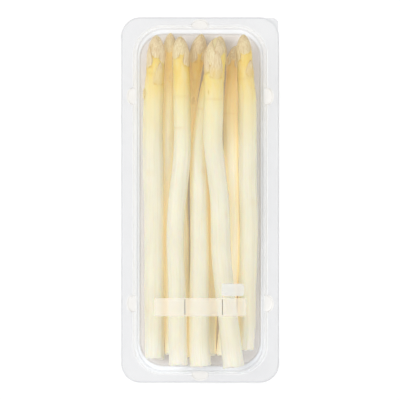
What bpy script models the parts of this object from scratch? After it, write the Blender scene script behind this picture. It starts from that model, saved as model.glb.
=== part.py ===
"""Nine peeled white asparagus spears bundled in the clear tray that holds them, under a sealed film.

The tray lies flat on its floor. X runs across it, Y along it towards the tips, Z up, and the origin
is at the middle of its underside. Lengths are in metres. Blender 4.5.
"""

import math
from collections import namedtuple

import bmesh
import bpy
from mathutils import Vector

MM = 0.001

# Tray, as outside sizes. Half sizes are used because its outline is drawn round the origin.
TRAY_HALF_WIDTH = 52.25 * MM
TRAY_HALF_LENGTH = 120.75 * MM
TRAY_DEPTH = 31.0 * MM
TRAY_CORNER = 13.0 * MM
SHELL = 0.6 * MM
SKIRT_DROP = 2.2 * MM
WELL_HALF_WIDTH = 44.2 * MM
WELL_HALF_LENGTH = 115.0 * MM
WELL_CORNER = 19.5 * MM
LEDGE_HEIGHT = 4.8 * MM
LEDGE_HALF_WIDTH = 41.5 * MM
LEDGE_HALF_LENGTH = 113.4 * MM
FLOOR_HALF_WIDTH = 39.6 * MM
FLOOR_HALF_LENGTH = 109.6 * MM

# Stacking lugs in the wall: two down each side and one at each end.
LUG_HALF_LENGTH = 5.6 * MM
LUG_OUT = 3.6 * MM
LUG_IN = 1.6 * MM
LUG_DEPTH = 4.2 * MM
LUG_FADE = 14.0 * MM
SIDE_LUG_Y = 68.5 * MM
LUG_STEPS = (-1.0, -0.6, 0.0, 0.6, 1.0)
CORNER_STEPS = 6

# Film sealed on the flange, with a square corner at one end to peel it by.
TOUCH_GAP = 0.3 * MM
FILM_THICKNESS = 0.3 * MM
FILM_INSET = 0.6 * MM
FILM_CORNER = 12.4 * MM
PEEL_CORNER = 3.6 * MM

# Spears. A route runs from the tip to the cut end as (x, y) in millimetres, as seen from above.
SPEAR_GAP = 0.3 * MM
SIDES = 14
TIP_LENGTH = 14.0 * MM
TIP_FULLNESS = 0.75
NECK_AT = 22.0 * MM
SHOULDER_AT = 42.0 * MM
CUT_BEVEL = 1.0 * MM
CUT_BEVEL_LENGTH = 1.3 * MM
RING_DISTANCES = (
    0.5, 1.6, 3.4, 6.2, 10.0, 15.0, 21.0, 28.0, 37.0, 48.0, 62.0, 78.0, 95.0, 112.0, 130.0, 148.0, 166.0,
    184.0, 198.0,
)
STATION_STEP = 3.0 * MM
STIFF_LENGTH = 6.0 * MM

# Scales lie round the tip with their points up. Besides those listed for each spear, some close its back.
BACK_SCALE_ANGLES = (150, -150, 180)
BACK_SCALE_WIDTH = 8.0
SCALE_RISE = 0.3 * MM
SCALE_LAYER = 0.06 * MM
SCALE_SUNK = 0.9 * MM
SCALE_ZONE = 44.0 * MM
SCALE_ACROSS = 4
SCALE_ALONG = 5

Spear = namedtuple("Spear", "name route head neck stem butt slant scales")
Level = namedtuple("Level", "half_width half_length corner z lug")

# In the order that they are laid: each rests on the floor or on those above it in this list.
# A scale is (its base's distance from the tip, its angle from straight up in degrees, width, length), in
# millimetres.
SPEARS = (
    Spear(
        "spear_2",
        ((-19.6, 110.9), (-20.0, 94), (-20.4, 67), (-21.0, 40), (-21.6, 7), (-20.8, -34),
         (-18.8, -102.2)),
        4.4, 3.9, 4.1, 4.3, 0.4,
        ((11.6, -8, 8.0, 10.0), (15.1, 70, 7.0, 9.0), (16.6, -80, 7.0, 9.0), (31.6, 22, 4.0, 6.5)),
    ),
    Spear(
        "spear_4",
        ((1.2, 110.2), (-2.0, 94), (-6.1, 67), (-9.5, 40), (-12.6, 7), (-11.6, -27), (-10.9, -60),
         (-10.2, -104.0)),
        5.2, 4.6, 4.4, 4.5, -0.4,
        ((12.1, 4, 8.0, 10.5), (16.8, 66, 7.0, 11.0), (18.1, -40, 8.0, 12.0), (45.5, 20, 3.6, 4.5)),
    ),
    Spear(
        "spear_6",
        ((11.4, 38), (11.0, 20), (9.9, 0), (8.6, -34), (6.9, -67), (6.0, -103.1)),
        4.4, 4.1, 4.3, 4.5, 0.3,
        ((12.0, 0, 8.0, 9.0), (17.0, 80, 7.0, 10.0)),
    ),
    Spear(
        "spear_8",
        ((23.7, 102.4), (22.8, 94), (20.5, 67), (20.2, 34), (21.3, 0), (21.2, -34), (19.8, -60),
         (17.1, -87), (15.4, -103.1)),
        4.7, 4.5, 4.7, 4.8, -0.3,
        ((8.2, 6, 8.0, 7.0), (12.6, -70, 7.0, 9.0), (13.8, 44, 7.0, 9.0)),
    ),
    Spear(
        "spear_1",
        ((-28.9, 109.3), (-29.1, 94), (-30.8, 67), (-31.3, 40), (-31.1, 24), (-30.5, 0), (-30.3, -54),
         (-30.1, -105.0)),
        5.6, 5.8, 6.6, 6.5, -1.0,
        ((13.9, 2, 7.6, 12.5), (17.2, 62, 8.4, 13.5), (20.5, -68, 9.0, 14.5), (31.2, 27, 7.4, 13.3),
         (41.0, -78, 4.2, 5.0)),
    ),
    Spear(
        "spear_9",
        ((28.6, 109.9), (29.4, 97), (30.2, 81), (31.1, 67), (31.4, 20), (32.2, -14), (31.9, -34),
         (31.3, -54), (30.9, -80), (29.6, -99.5)),
        5.0, 5.0, 6.0, 5.9, 0.6,
        ((12.3, 0, 9.6, 11.0), (16.8, -74, 8.0, 12.0), (26.8, 44, 7.6, 9.5)),
    ),
    Spear(
        "spear_5",
        ((13.3, 108.8), (11.7, 97), (9.3, 87), (6.8, 77), (5.0, 67), (2.9, 54), (0.4, 40), (-0.6, 20),
         (-0.3, -20), (-0.4, -54), (-0.9, -87), (0.2, -110.3)),
        5.4, 5.0, 6.2, 7.1, 0.8,
        ((9.6, 40, 8.0, 8.5), (13.6, -30, 8.0, 12.0), (18.6, 80, 8.0, 12.0), (29.6, -50, 6.0, 9.0)),
    ),
    Spear(
        "spear_3",
        ((-13.2, 108.5), (-12.7, 94), (-12.1, 67), (-11.8, 40), (-12.2, 27), (-15.2, 0), (-16.7, -27),
         (-15.5, -54), (-14.6, -109.5)),
        5.5, 5.5, 5.8, 6.1, 0.5,
        ((11.2, 8, 6.4, 9.8), (13.8, -46, 7.6, 12.0), (19.0, 54, 8.0, 14.0)),
    ),
    Spear(
        "spear_7",
        ((10.8, 107.6), (10.3, 98), (9.7, 89), (9.3, 81), (9.0, 67), (8.8, 54), (8.5, 40), (9.7, 27),
         (12.9, 0), (14.3, -40), (18.8, -81), (22.2, -110.8)),
        7.0, 6.6, 6.4, 6.8, 0.8,
        ((17.5, -30, 8.6, 13.5), (23.4, -66, 9.0, 15.0), (26.4, 12, 9.6, 17.0)),
    ),
)


def through(points, at):
    """The value at a place on a smooth curve through (place, value) points, whose places rise."""
    last = len(points) - 1
    span = next((i for i in range(1, last) if at <= points[i][0]), last)
    (x0, y0), (x1, y1) = points[span - 1], points[span]

    def slope(i):
        low, high = max(i - 1, 0), min(i + 1, last)
        return (points[high][1] - points[low][1]) / (points[high][0] - points[low][0])

    length = x1 - x0
    u = min(max((at - x0) / length, 0.0), 1.0)
    start, end = slope(span - 1) * length, slope(span) * length
    return (
        y0 * (1 + 2 * u) * (1 - u) ** 2
        + start * u * (1 - u) ** 2
        + y1 * u * u * (3 - 2 * u)
        - end * u * u * (1 - u)
    )


def tip_y(spear):
    return spear.route[0][1] * MM


def cut_y(spear):
    return spear.route[-1][1] * MM


def side_at(spear, y):
    """Where the spear's axis is across the tray, at this place along it."""
    points = [(py * MM, px * MM) for px, py in reversed(spear.route)]
    return through(points, y)


def radius_at(spear, distance):
    """The stem's radius at this distance from the tip, without its scales."""
    length = tip_y(spear) - cut_y(spear)
    points = (
        (0.0, spear.head),
        (TIP_LENGTH, spear.head),
        (NECK_AT, spear.neck),
        (SHOULDER_AT, spear.stem),
        (length * 0.6, spear.stem),
        (length, spear.butt),
    )
    share = min(distance / TIP_LENGTH, 1.0)
    return through(points, distance) * MM * (1 - (1 - share) ** 2) ** TIP_FULLNESS


def clear_radius_at(spear, distance):
    """The radius that other spears keep clear of: the stem and what its scales stand out."""
    rise = SCALE_RISE + 4 * SCALE_LAYER if distance < SCALE_ZONE else 0.0
    return radius_at(spear, distance) + rise


def stations():
    count = int(2 * FLOOR_HALF_LENGTH / STATION_STEP) + 3
    return [(i - (count - 1) / 2) * STATION_STEP for i in range(count)]


def support_height(y):
    """The floor's top, or the ledge's near both ends of the tray."""
    return LEDGE_HEIGHT + TOUCH_GAP if abs(y) > FLOOR_HALF_LENGTH - TOUCH_GAP else SHELL


def window(values, index, reach):
    return values[max(index - reach, 0) : index + reach + 1]


def smooth_above(values):
    """A smooth line that stays at or above these values and touches their peaks, as a stiff stem does."""
    reach = round(STIFF_LENGTH / STATION_STEP)
    line = [max(window(values, i, 2 * reach)) for i in range(len(values))]
    for _ in range(2):
        line = [sum(window(line, i, reach)) / len(window(line, i, reach)) for i in range(len(line))]
    return line


def lay(spears):
    """Each spear's height along the tray, as (y, z) points: on the floor, or on the spears laid before it."""
    places = stations()
    heights = {}
    for spear in spears:
        lowest = []
        for y in places:
            within = min(max(y, cut_y(spear)), tip_y(spear))
            radius = clear_radius_at(spear, tip_y(spear) - within)
            height = support_height(within) + radius + TOUCH_GAP
            for other in spears[: spears.index(spear)]:
                if not cut_y(other) <= within <= tip_y(other):
                    continue
                apart = abs(side_at(spear, within) - side_at(other, within))
                reach = radius + clear_radius_at(other, tip_y(other) - within) + SPEAR_GAP
                if apart < reach:
                    below = through(heights[other.name], within)
                    height = max(height, below + math.sqrt(reach**2 - apart**2))
            lowest.append(height)
        heights[spear.name] = list(zip(places, smooth_above(lowest)))
    return heights


def axis_point(spear, heights, distance):
    y = tip_y(spear) - distance
    return Vector((side_at(spear, y), y, through(heights[spear.name], y)))


def outward(spear, heights, distance, angle):
    """The direction from the axis at this angle, where 0 is up and a quarter turn is towards +X."""
    step = 1.0 * MM
    along = axis_point(spear, heights, distance - step) - axis_point(spear, heights, distance + step)
    right = along.cross(Vector((0, 0, 1))).normalized()
    up = right.cross(along).normalized()
    return up * math.cos(angle) + right * math.sin(angle)


def surface_point(spear, heights, distance, angle, rise):
    radius = radius_at(spear, distance) + rise
    return axis_point(spear, heights, distance) + outward(spear, heights, distance, angle) * radius


def new_object(name, bm, material):
    bmesh.ops.recalc_face_normals(bm, faces=bm.faces)
    mesh = bpy.data.meshes.new(name)
    bm.to_mesh(mesh)
    bm.free()
    mesh.materials.append(material)
    obj = bpy.data.objects.new(name, mesh)
    bpy.context.scene.collection.objects.link(obj)
    return obj


def bridge(bm, first, second):
    """Faces between two closed rings of the same number of vertices."""
    for i in range(len(first)):
        j = (i + 1) % len(first)
        bm.faces.new((first[i], first[j], second[j], second[i]))


def make_stem(spear, heights, material):
    """The spear without its scales: a bent stem with a pointed tip and a square, bevelled cut end."""
    bm = bmesh.new()
    length = tip_y(spear) - cut_y(spear)
    distances = [d * MM for d in RING_DISTANCES if d * MM < length - 4 * CUT_BEVEL_LENGTH]
    rows = [(d, 0.0, 0.0) for d in distances]
    rows += [(length - CUT_BEVEL_LENGTH, 0.0, spear.slant * MM), (length, -CUT_BEVEL, spear.slant * MM)]
    rings = []
    for distance, rise, slant in rows:
        ring = []
        for i in range(SIDES):
            angle = 2 * math.pi * i / SIDES
            point = surface_point(spear, heights, distance, angle, rise)
            point.y += slant * math.sin(angle) / 2
            ring.append(bm.verts.new(point))
        rings.append(ring)
    apex = bm.verts.new(axis_point(spear, heights, 0.0))
    for i in range(SIDES):
        bm.faces.new((apex, rings[0][i], rings[0][(i + 1) % SIDES]))
    for first, second in zip(rings, rings[1:]):
        bridge(bm, first, second)
    bm.faces.new(rings[-1])
    return new_object(spear.name, bm, material)


def all_scales(spear):
    """The listed scales, and those round the back, from the tip down."""
    lowest = spear.scales[min(2, len(spear.scales) - 1)][0]
    back = []
    for n, degrees in enumerate(BACK_SCALE_ANGLES):
        base = lowest * (0.72 + 0.12 * n)
        back.append((base, degrees, BACK_SCALE_WIDTH, base * 0.8))
    return sorted([*spear.scales, *back])


def width_share(v):
    """The share of its full width that a scale has at v, 0 at its base and 1 at its point."""
    return (0.78 + 0.22 * math.sin(min(v / 0.3, 1.0) * math.pi / 2)) * max(1 - v**2.2, 0.03)


def make_scale(spear, heights, scale, layer, material):
    """One pointed scale that hugs the stem, its underside sunk in and its point towards the tip."""
    bm = bmesh.new()
    base, degrees, width, length = scale
    base *= MM
    length = min(length * MM, base - 1.2 * MM)
    half_turn = min(width * MM / 2 / radius_at(spear, base), 1.4)
    outer, inner = [], []
    for j in range(SCALE_ALONG + 1):
        v = j / SCALE_ALONG
        distance = base - length * v
        rise = SCALE_RISE + SCALE_LAYER * layer * math.sin(v * math.pi / 2)
        outer_row, inner_row = [], []
        for i in range(SCALE_ACROSS + 1):
            u = 2 * i / SCALE_ACROSS - 1
            turn = math.radians(degrees) + u * half_turn * width_share(v)
            crown = rise * (1 - 0.35 * u * u)
            outer_row.append(bm.verts.new(surface_point(spear, heights, distance, turn, crown)))
            sunk = min(SCALE_SUNK, radius_at(spear, distance) / 2)
            inner_row.append(bm.verts.new(surface_point(spear, heights, distance, turn, -sunk)))
        outer.append(outer_row)
        inner.append(inner_row)
    for j in range(SCALE_ALONG):
        for i in range(SCALE_ACROSS):
            for grid in (outer, inner):
                bm.faces.new((grid[j][i], grid[j][i + 1], grid[j + 1][i + 1], grid[j + 1][i]))
        for i in (0, SCALE_ACROSS):
            bm.faces.new((outer[j][i], outer[j + 1][i], inner[j + 1][i], inner[j][i]))
    for i in range(SCALE_ACROSS):
        for j in (0, SCALE_ALONG):
            bm.faces.new((outer[j][i], outer[j][i + 1], inner[j][i + 1], inner[j][i]))
    return new_object(spear.name + "_scale", bm, material)


def make_spear(spear, heights, material):
    """A stem with its scales joined on by one Boolean union."""
    stem = make_stem(spear, heights, material)
    scales = bpy.data.collections.new(spear.name + "_scales")
    for n, listed in enumerate(all_scales(spear)):
        scale = make_scale(spear, heights, listed, min(n, 4), material)
        bpy.context.scene.collection.objects.unlink(scale)
        scales.objects.link(scale)
    join = stem.modifiers.new("scales", "BOOLEAN")
    join.operation = "UNION"
    join.solver = "MANIFOLD"
    join.operand_type = "COLLECTION"
    join.collection = scales
    bpy.context.view_layer.update()
    graph = bpy.context.evaluated_depsgraph_get()
    joined = bpy.data.meshes.new_from_object(stem.evaluated_get(graph))
    stem.modifiers.remove(join)
    stem.data = joined
    joined.name = spear.name
    joined.shade_smooth()
    joined.set_sharp_from_angle(angle=math.radians(35))
    for scale in list(scales.objects):
        bpy.data.objects.remove(scale)
    bpy.data.collections.remove(scales)
    return stem


def lug_bulge(share):
    """How far a lug's outline stands out at this share of its half length, from 0 to 1."""
    return math.sqrt(max(1 - share * share, 0.0))


def outline(level, square=None):
    """A rounded rectangle round the origin as points, with bulges where the lugs are.

    square is the radius of the peel corner, where it differs from the others.
    """
    a, b = level.half_width, level.half_length
    points = []
    corners = (((1, 1), 0), ((-1, 1), 90), ((-1, -1), 180), ((1, -1), 270))
    lug_centres = ((0.0,), (SIDE_LUG_Y, -SIDE_LUG_Y), (0.0,), (-SIDE_LUG_Y, SIDE_LUG_Y))
    for ((sx, sy), first), centres in zip(corners, lug_centres):
        radius = square if square and (sx, sy) == (1, 1) else level.corner
        for step in range(CORNER_STEPS + 1):
            angle = math.radians(first + 90 * step / CORNER_STEPS)
            x = sx * (a - radius) + radius * math.cos(angle)
            y = sy * (b - radius) + radius * math.sin(angle)
            points.append(Vector((x, y, level.z)))
        for centre in centres:
            for share in LUG_STEPS:
                out = level.lug * lug_bulge(share)
                if first in (0, 180):
                    side = 1 if first == 0 else -1
                    points.append(Vector((-side * share * LUG_HALF_LENGTH, side * (b + out), level.z)))
                else:
                    side = -1 if first == 90 else 1
                    along = centre + side * share * LUG_HALF_LENGTH
                    points.append(Vector((side * (a + out), along, level.z)))
    return points


def wall_level(z, lug):
    """A level of the well's wall, which leans out evenly from the ledge to the flange."""
    share = (z - LEDGE_HEIGHT) / (TRAY_DEPTH - LEDGE_HEIGHT)
    half_width = LEDGE_HALF_WIDTH + (WELL_HALF_WIDTH - LEDGE_HALF_WIDTH) * share
    half_length = LEDGE_HALF_LENGTH + (WELL_HALF_LENGTH - LEDGE_HALF_LENGTH) * share
    return Level(half_width, half_length, WELL_CORNER - 2 * MM * (1 - share), z, lug)


def tray_levels():
    """The tray's upper surface, from the skirt's edge over the flange and down to the middle of the floor."""
    top, w, length = TRAY_DEPTH, TRAY_HALF_WIDTH, TRAY_HALF_LENGTH
    round_over = 0.7 * MM
    foot = 0.8 * MM
    floor_corner = 15.5 * MM
    return (
        Level(w, length, TRAY_CORNER, top - SKIRT_DROP, 0),
        Level(w, length, TRAY_CORNER, top - round_over, 0),
        Level(w - round_over, length - round_over, TRAY_CORNER - round_over, top, 0),
        Level(WELL_HALF_WIDTH + round_over, WELL_HALF_LENGTH + round_over, WELL_CORNER + round_over,
              top, LUG_OUT),
        wall_level(top - round_over, LUG_OUT),
        wall_level(top - LUG_DEPTH, LUG_OUT),
        wall_level(top - LUG_DEPTH - round_over, -LUG_IN),
        wall_level(top - LUG_FADE, -LUG_IN / 2),
        wall_level(LEDGE_HEIGHT + round_over, 0),
        Level(LEDGE_HALF_WIDTH - round_over, LEDGE_HALF_LENGTH - round_over, 17 * MM, LEDGE_HEIGHT, 0),
        Level(FLOOR_HALF_WIDTH + foot, FLOOR_HALF_LENGTH + foot, 16.3 * MM, LEDGE_HEIGHT, 0),
        Level(FLOOR_HALF_WIDTH, FLOOR_HALF_LENGTH, floor_corner, SHELL + foot, 0),
        Level(FLOOR_HALF_WIDTH - foot, FLOOR_HALF_LENGTH - foot, floor_corner - foot, SHELL, 0),
    )


def make_tray(material):
    """The thermoformed shell: a drawn surface given its thickness by Solidify."""
    bm = bmesh.new()
    rings = [[bm.verts.new(p) for p in outline(level)] for level in tray_levels()]
    for first, second in zip(rings, rings[1:]):
        bridge(bm, first, second)
    bm.faces.new(rings[-1])
    tray = new_object("tray", bm, material)
    solidify = tray.modifiers.new("thickness", "SOLIDIFY")
    solidify.thickness = SHELL
    solidify.offset = -1.0
    solidify.use_even_offset = True
    tray.data.shade_smooth()
    tray.data.set_sharp_from_angle(angle=math.radians(40))
    return tray


def make_film(material):
    """The clear lid: a thin sheet over the flange, a little inside its edge."""
    low = TRAY_DEPTH + TOUCH_GAP
    half_width = TRAY_HALF_WIDTH - FILM_INSET
    half_length = TRAY_HALF_LENGTH - FILM_INSET
    bm = bmesh.new()
    rings = []
    for z in (low, low + FILM_THICKNESS):
        level = Level(half_width, half_length, FILM_CORNER, z, 0)
        rings.append([bm.verts.new(p) for p in outline(level, square=PEEL_CORNER)])
    bridge(bm, *rings)
    for ring in rings:
        bm.faces.new(ring)
    return new_object("film", bm, material)


def new_material(name, colour, roughness, alpha=1.0):
    material = bpy.data.materials.new(name)
    material.use_nodes = True
    shader = material.node_tree.nodes["Principled BSDF"]
    shader.inputs["Base Color"].default_value = (*colour, 1.0)
    shader.inputs["Roughness"].default_value = roughness
    shader.inputs["Metallic"].default_value = 0.0
    shader.inputs["Alpha"].default_value = alpha
    return material


def clear_scene():
    for obj in list(bpy.data.objects):
        bpy.data.objects.remove(obj)


def main():
    clear_scene()
    flesh = new_material("asparagus", (0.86, 0.78, 0.55), 0.45)
    plastic = new_material("clear_plastic", (0.88, 0.9, 0.92), 0.12, 0.3)
    film_plastic = new_material("clear_film", (0.95, 0.96, 0.97), 0.08, 0.12)
    heights = lay(SPEARS)
    for spear in SPEARS:
        make_spear(spear, heights, flesh)
    make_tray(plastic)
    make_film(film_plastic)


main()
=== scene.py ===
import math
from collections import namedtuple

import bmesh
import bpy
import numpy as np
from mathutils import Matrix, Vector


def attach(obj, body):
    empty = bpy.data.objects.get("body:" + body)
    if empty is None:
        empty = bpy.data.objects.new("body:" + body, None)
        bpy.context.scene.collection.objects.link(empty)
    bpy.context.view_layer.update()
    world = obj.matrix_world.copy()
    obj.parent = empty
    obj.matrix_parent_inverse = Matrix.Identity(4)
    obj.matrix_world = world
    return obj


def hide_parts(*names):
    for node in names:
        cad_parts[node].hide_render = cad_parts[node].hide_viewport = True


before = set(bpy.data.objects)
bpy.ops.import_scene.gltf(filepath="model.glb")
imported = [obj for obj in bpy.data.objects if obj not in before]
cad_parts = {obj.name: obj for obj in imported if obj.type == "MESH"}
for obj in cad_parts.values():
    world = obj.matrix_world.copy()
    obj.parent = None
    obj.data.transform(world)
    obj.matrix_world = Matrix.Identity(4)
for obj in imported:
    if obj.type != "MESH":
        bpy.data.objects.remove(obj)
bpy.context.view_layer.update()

MM = 0.001

# The bundle's layout is the CAD source's own: lengths are in metres, and the spears' routes in millimetres.
# The tray lies flat on its floor. X runs across it, Y along it towards the tips, and Z up.
TRAY_HALF_WIDTH = 52.25 * MM
TRAY_HALF_LENGTH = 120.75 * MM
TRAY_DEPTH = 31.0 * MM
TRAY_CORNER = 13.0 * MM
SHELL = 0.6 * MM
SKIRT_DROP = 2.2 * MM
WELL_HALF_WIDTH = 44.2 * MM
WELL_HALF_LENGTH = 115.0 * MM
WELL_CORNER = 19.5 * MM
LEDGE_HEIGHT = 4.8 * MM
LEDGE_HALF_WIDTH = 41.5 * MM
LEDGE_HALF_LENGTH = 113.4 * MM
FLOOR_HALF_WIDTH = 39.6 * MM
FLOOR_HALF_LENGTH = 109.6 * MM

# The corners of the ledge and the floor, and how widely the tray's edges are rounded.
LEDGE_CORNER = 17.4 * MM
FLOOR_CORNER = 15.5 * MM
FLOOR_RIM_CORNER = 16.0 * MM
# The well's corners are this much tighter at the ledge than at the rim.
WELL_CORNER_TIGHTENS = 2.0 * MM
EDGE_ROUND = 0.9 * MM
FLOOR_ROUND = 0.8 * MM

LUG_HALF_LENGTH = 5.6 * MM
LUG_OUT = 3.6 * MM
LUG_IN = 1.6 * MM
LUG_DEPTH = 4.2 * MM
LUG_FADE = 14.0 * MM
SIDE_LUG_Y = 68.5 * MM
LUG_POINTS = 13
CORNER_STEPS = 20
# A face belongs to a lug up to this far outside it, and from this far under the flange.
LUG_MARGIN = 1.2 * MM
UNDER_FLANGE = 0.01 * MM
# The tray's first bands of faces are its skirt and its rounded edge, which look darker than the flange.
EDGE_BANDS = 5
# Places in each piece's list of materials, after its main one.
LUG_SLOT, EDGE_SLOT = 1, 2
SEALED_SLOT, LOOSE_SLOT = 1, 2
SCALE_SLOT = 1

TOUCH_GAP = 0.3 * MM
FILM_THICKNESS = 0.3 * MM
FILM_INSET = 0.6 * MM
FILM_CORNER = 12.4 * MM
PEEL_CORNER = 3.6 * MM

# The scene's film is thinner than its solid, so that the blank print stays within the solid's thickness.
FILM_LOW = TRAY_DEPTH + TOUCH_GAP
FILM_HIGH = FILM_LOW + FILM_THICKNESS
SHEET_THICKNESS = 0.12 * MM
SEAL_MARGIN = 1.0 * MM
PRINT_LOW, PRINT_HIGH = FILM_LOW + 0.14 * MM, FILM_LOW + 0.2 * MM
LINE_LOW, LINE_HIGH = FILM_LOW + 0.21 * MM, FILM_HIGH - 0.02 * MM

STRIP_CENTRE = (0.0 * MM, -70.9 * MM)
STRIP_HALF_WIDTH = 30.3 * MM
STRIP_HALF_HEIGHT = 6.0 * MM
STRIP_CORNER = 1.4 * MM
PANEL_CENTRE = (21.5 * MM, -59.4 * MM)
PANEL_HALF_WIDTH = 7.4 * MM
PANEL_HALF_HEIGHT = 4.1 * MM
PANEL_CORNER = 1.6 * MM
LINE_X = {"left": -10.1 * MM, "right": 14.7 * MM}
LINE_HALF_WIDTH = 0.2 * MM
LINE_HALF_HEIGHT = 5.2 * MM
LINE_CORNER = 0.1 * MM

SPEAR_GAP = 0.3 * MM
TIP_LENGTH = 14.0 * MM
TIP_FULLNESS = 0.75
NECK_AT = 22.0 * MM
SHOULDER_AT = 42.0 * MM
SCALE_STAND = 0.54 * MM
SCALE_ZONE = 44.0 * MM
STATION_STEP = 3.0 * MM
STIFF_LENGTH = 6.0 * MM

Spear = namedtuple("Spear", "name route head neck stem butt warmth lift scales scars slant")
Level = namedtuple("Level", "half_width half_length corner z lug")

# A spear's route is seen from above, from its tip to its cut end. Its head, neck, stem and butt are radii.
# Warmth is how ochre its flesh is painted towards its tip: painted shade and bounced light, for a spear lying
# low among the others. Lift is how much light of its own it has, and slant how far its cut end is out of
# square.
# A scale is its base's distance from the tip, its angle from straight up in degrees, its width and its
# length.
# A scar is its distance from the tip, its angle, and how many degrees round the stem it reaches. All lengths
# here are in millimetres. Each spear lies on those before it.
SPEARS = (
    Spear(
        "spear_2",
        ((-19.6, 110.9), (-20.0, 94), (-20.4, 67), (-21.0, 40), (-21.6, 7), (-20.8, -34),
         (-18.8, -102.2)),
        4.4, 3.9, 4.1, 4.3, 0.14, 0.11,
        ((11.6, -8, 8.0, 10.0), (15.1, 70, 7.0, 9.0), (16.6, -80, 7.0, 9.0), (31.6, 22, 4.0, 6.5)),
        ((24.0, 0, 70), (70.0, 20, 40)),
        0.4,
    ),
    Spear(
        "spear_4",
        ((1.2, 110.2), (-2.0, 94), (-6.1, 67), (-9.5, 40), (-12.6, 7), (-11.6, -27), (-10.9, -60),
         (-10.2, -104.0)),
        5.2, 4.6, 4.4, 4.5, 0.45, 0.08,
        ((12.1, 4, 8.0, 10.5), (16.8, 66, 7.0, 11.0), (18.1, -40, 8.0, 12.0), (45.5, 20, 3.6, 4.5)),
        ((30.0, -10, 80), (58.0, 0, 60)),
        -0.4,
    ),
    Spear(
        "spear_6",
        ((11.4, 38), (11.0, 20), (9.9, 0), (8.6, -34), (6.9, -67), (6.0, -103.1)),
        4.4, 4.1, 4.3, 4.5, 0.5, 0.07,
        ((12.0, 0, 8.0, 9.0), (17.0, 80, 7.0, 10.0)),
        ((30.0, 0, 80),),
        0.3,
    ),
    Spear(
        "spear_8",
        ((23.7, 102.4), (22.8, 94), (20.5, 67), (20.2, 34), (21.3, 0), (21.2, -34), (19.8, -60),
         (17.1, -87), (15.4, -103.1)),
        4.7, 4.5, 4.7, 4.8, 0.52, 0.22,
        ((8.2, 6, 8.0, 7.0), (12.6, -70, 7.0, 9.0), (13.8, 44, 7.0, 9.0)),
        ((44.0, 0, 80),),
        -0.3,
    ),
    Spear(
        "spear_1",
        ((-28.9, 109.3), (-29.1, 94), (-30.8, 67), (-31.3, 40), (-31.1, 24), (-30.5, 0), (-30.3, -54),
         (-30.1, -105.0)),
        5.6, 5.8, 6.6, 6.5, 0.1, 0.0,
        ((13.9, 2, 7.6, 12.5), (17.2, 62, 8.4, 13.5), (20.5, -68, 9.0, 14.5), (31.2, 27, 7.4, 13.3),
         (41.0, -78, 4.2, 5.0)),
        ((91.5, -20, 34), (24.6, 0, 60), (182.0, -60, 30)),
        -1.0,
    ),
    Spear(
        "spear_9",
        ((28.6, 109.9), (29.4, 97), (30.2, 81), (31.1, 67), (31.4, 20), (32.2, -14), (31.9, -34),
         (31.3, -54), (30.9, -80), (29.6, -99.5)),
        5.0, 5.0, 6.0, 5.9, 0.15, 0.0,
        ((12.3, 0, 9.6, 11.0), (16.8, -74, 8.0, 12.0), (26.8, 44, 7.6, 9.5)),
        ((28.8, 0, 90), (111.0, 40, 34)),
        0.6,
    ),
    Spear(
        "spear_5",
        ((13.3, 108.8), (11.7, 97), (9.3, 87), (6.8, 77), (5.0, 67), (2.9, 54), (0.4, 40), (-0.6, 20),
         (-0.3, -20), (-0.4, -54), (-0.9, -87), (0.2, -110.3)),
        5.4, 5.0, 6.2, 7.1, 0.08, 0.0,
        ((9.6, 40, 8.0, 8.5), (13.6, -30, 8.0, 12.0), (18.6, 80, 8.0, 12.0), (29.6, -50, 6.0, 9.0)),
        ((48.0, -30, 70), (90.0, 30, 40)),
        0.8,
    ),
    Spear(
        "spear_3",
        ((-13.2, 108.5), (-12.7, 94), (-12.1, 67), (-11.8, 40), (-12.2, 27), (-15.2, 0), (-16.7, -27),
         (-15.5, -54), (-14.6, -109.5)),
        5.5, 5.5, 5.8, 6.1, 0.05, 0.0,
        ((11.2, 8, 6.4, 9.8), (13.8, -46, 7.6, 12.0), (19.0, 54, 8.0, 14.0)),
        ((39.4, 0, 80), (60.0, -40, 50)),
        0.5,
    ),
    Spear(
        "spear_7",
        ((10.8, 107.6), (10.3, 98), (9.7, 89), (9.3, 81), (9.0, 67), (8.8, 54), (8.5, 40), (9.7, 27),
         (12.9, 0), (14.3, -40), (18.8, -81), (22.2, -110.8)),
        7.0, 6.6, 6.4, 6.8, 0.05, 0.0,
        ((17.5, -30, 8.6, 13.5), (23.4, -66, 9.0, 15.0), (26.4, 12, 9.6, 17.0)),
        ((40.0, 0, 70), (117.5, 40, 30), (36.5, -35, 4)),
        0.8,
    ),
)


def through(points, at):
    """The value at a place on a smooth curve through (place, value) points, whose places rise."""
    last = len(points) - 1
    span = next((i for i in range(1, last) if at <= points[i][0]), last)
    (x0, y0), (x1, y1) = points[span - 1], points[span]

    def slope(i):
        low, high = max(i - 1, 0), min(i + 1, last)
        return (points[high][1] - points[low][1]) / (points[high][0] - points[low][0])

    length = x1 - x0
    u = min(max((at - x0) / length, 0.0), 1.0)
    start, end = slope(span - 1) * length, slope(span) * length
    return (
        y0 * (1 + 2 * u) * (1 - u) ** 2
        + start * u * (1 - u) ** 2
        + y1 * u * u * (3 - 2 * u)
        - end * u * u * (1 - u)
    )


def tip_y(spear):
    return spear.route[0][1] * MM


def cut_y(spear):
    return spear.route[-1][1] * MM


def side_at(spear, y):
    points = [(py * MM, px * MM) for px, py in reversed(spear.route)]
    return through(points, y)


def radius_at(spear, distance):
    length = tip_y(spear) - cut_y(spear)
    points = (
        (0.0, spear.head),
        (TIP_LENGTH, spear.head),
        (NECK_AT, spear.neck),
        (SHOULDER_AT, spear.stem),
        (length * 0.6, spear.stem),
        (length, spear.butt),
    )
    share = min(max(distance, 0.0) / TIP_LENGTH, 1.0)
    return through(points, distance) * MM * (1 - (1 - share) ** 2) ** TIP_FULLNESS


def clear_radius_at(spear, distance):
    return radius_at(spear, distance) + (SCALE_STAND if distance < SCALE_ZONE else 0.0)


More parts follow.
